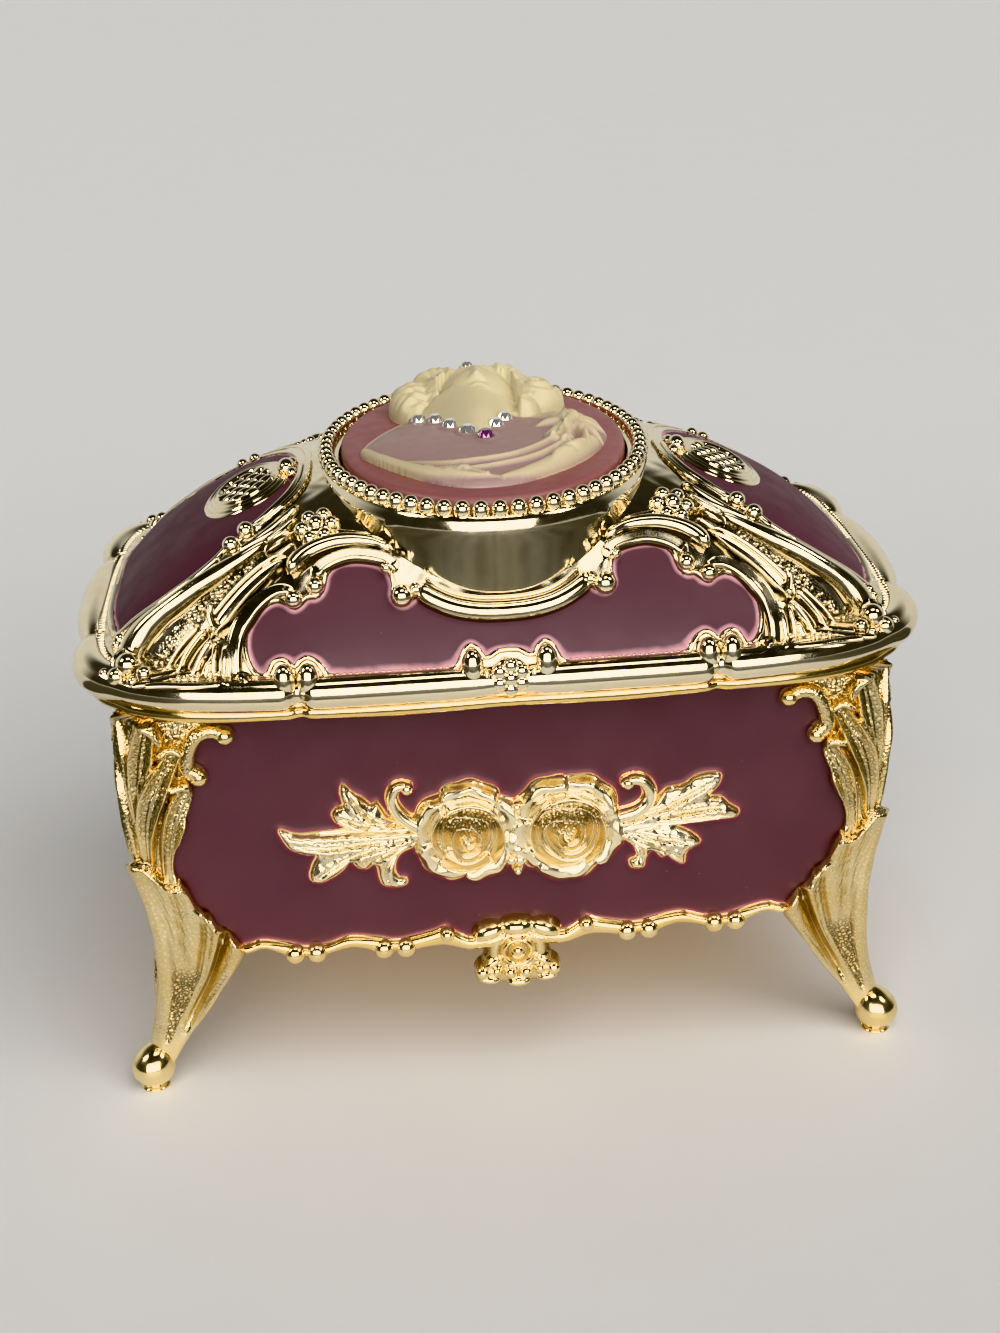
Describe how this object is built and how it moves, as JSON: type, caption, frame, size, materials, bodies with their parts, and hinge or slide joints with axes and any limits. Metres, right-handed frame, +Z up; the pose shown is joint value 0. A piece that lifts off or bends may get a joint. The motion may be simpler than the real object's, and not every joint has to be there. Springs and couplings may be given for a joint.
{
  "type": "jewelry music box",
  "caption": "Domed-lid jewelry music box on cabriole legs, gold plate and burgundy enamel with an oval cameo, a ring tray and a lid-started pinned-cylinder movement wound from below.",
  "frame": {"origin": "floor under the middle of the box", "axes": "+X to the right along the long side, +Y to the back where the hinge is, +Z up"},
  "size_m": [0.0878, 0.0568, 0.0688],
  "materials": {
    "gold_enamel_case": "bright light-gold plate with satin burgundy enamel fields",
    "gold_enamel_lid": "bright light-gold plate with satin burgundy enamel fields",
    "gold_plate_base": "brushed gold plate",
    "rose_resin": "matte dusty rose",
    "ivory_resin": "satin ivory",
    "clear_paste": "faceted, foil backed",
    "violet_paste": "faceted, foil backed",
    "velvet": "short pile velvet",
    "clear_acrylic": "clear sheet",
    "steel": "bright",
    "zinc_frame": "as cast, nickel washed",
    "movement_brass": "lacquered brass"
  },
  "bodies": {
    "case": {"case_casting": "gold_enamel_case", "leg_front_left": "gold_enamel_case", "leg_front_right": "gold_enamel_case", "leg_rear_left": "gold_enamel_case", "leg_rear_right": "gold_enamel_case", "hinge_pin": "steel", "jewel_tray": "velvet", "ring_roll_front": "velvet", "ring_roll_middle": "velvet", "ring_roll_rear": "velvet", "movement_cover": "clear_acrylic", "base_plate": "gold_plate_base", "base_screws": "steel", "bedplate": "zinc_frame", "movement_screws": "steel", "comb": "steel", "comb_screws": "movement_brass", "governor_frame": "zinc_frame"},
    "lid": {"lid_casting": "gold_enamel_lid", "cameo_ground": "rose_resin", "cameo_bust": "ivory_resin", "clear_stones": "clear_paste", "violet_stone": "violet_paste", "lid_lining": "velvet"},
    "key": {"winding_arbor": "steel", "winding_key": "movement_brass"},
    "barrel": {"spring_barrel": "movement_brass", "mainspring": "steel", "barrel_cap": "movement_brass"},
    "cylinder": {"tune_cylinder": "movement_brass", "tune_pins": "movement_brass", "cylinder_arbor": "steel", "cylinder_pinion": "movement_brass", "cylinder_wheel": "movement_brass"},
    "idler": {"idler_arbor": "steel", "idler_pinion": "movement_brass", "worm_wheel": "movement_brass"},
    "governor": {"governor_worm": "steel", "governor_fan": "movement_brass"},
    "plunger": {"stop_plunger": "steel"},
    "lever": {"stop_lever": "steel"}
  },
  "joints": [
    {"name": "lid_hinge", "type": "hinge", "parent": "case", "child": "lid", "pos_m": [0, 0.0259, 0.0425], "axis": [-1, 0, 0], "range_deg": [0, 100]},
    {"name": "key_wind", "type": "hinge", "parent": "case", "child": "key", "pos_m": [0.02, 0.0095, 0.012], "axis": [0, 0, 1], "range_deg": [0, 3600]},
    {"name": "barrel_spin", "type": "hinge", "parent": "case", "child": "barrel", "pos_m": [0.02, 0.0095, 0.024], "axis": [0, 0, 1], "continuous": true},
    {"name": "cylinder_spin", "type": "hinge", "parent": "case", "child": "cylinder", "pos_m": [0.02, -0.0096, 0.03095], "axis": [0, 1, 0], "continuous": true},
    {"name": "idler_spin", "type": "hinge", "parent": "case", "child": "idler", "pos_m": [0.02816, -0.015, 0.02715], "axis": [0, 1, 0], "continuous": true},
    {"name": "governor_spin", "type": "hinge", "parent": "case", "child": "governor", "pos_m": [0.03145, -0.012, 0.028], "axis": [0, 0, 1], "continuous": true},
    {"name": "plunger_slide", "type": "slide", "parent": "case", "child": "plunger", "axis": [0, 0, 1], "range_m": [0, 0.0013]},
    {"name": "lever_tilt", "type": "hinge", "parent": "case", "child": "lever", "pos_m": [0.03145, -0.007, 0.0293], "axis": [1, 0, 0], "range_deg": [0, 19]}
  ],
  "couplings": [
    {"joint": "cylinder_spin", "follows": "barrel_spin", "ratio": -2},
    {"joint": "idler_spin", "follows": "barrel_spin", "ratio": 8},
    {"joint": "governor_spin", "follows": "barrel_spin", "ratio": 128},
    {"joint": "plunger_slide", "follows": "lid_hinge", "m_per_rad": 0.00068755},
    {"joint": "lever_tilt", "follows": "lid_hinge", "ratio": 0.18}
  ]
}
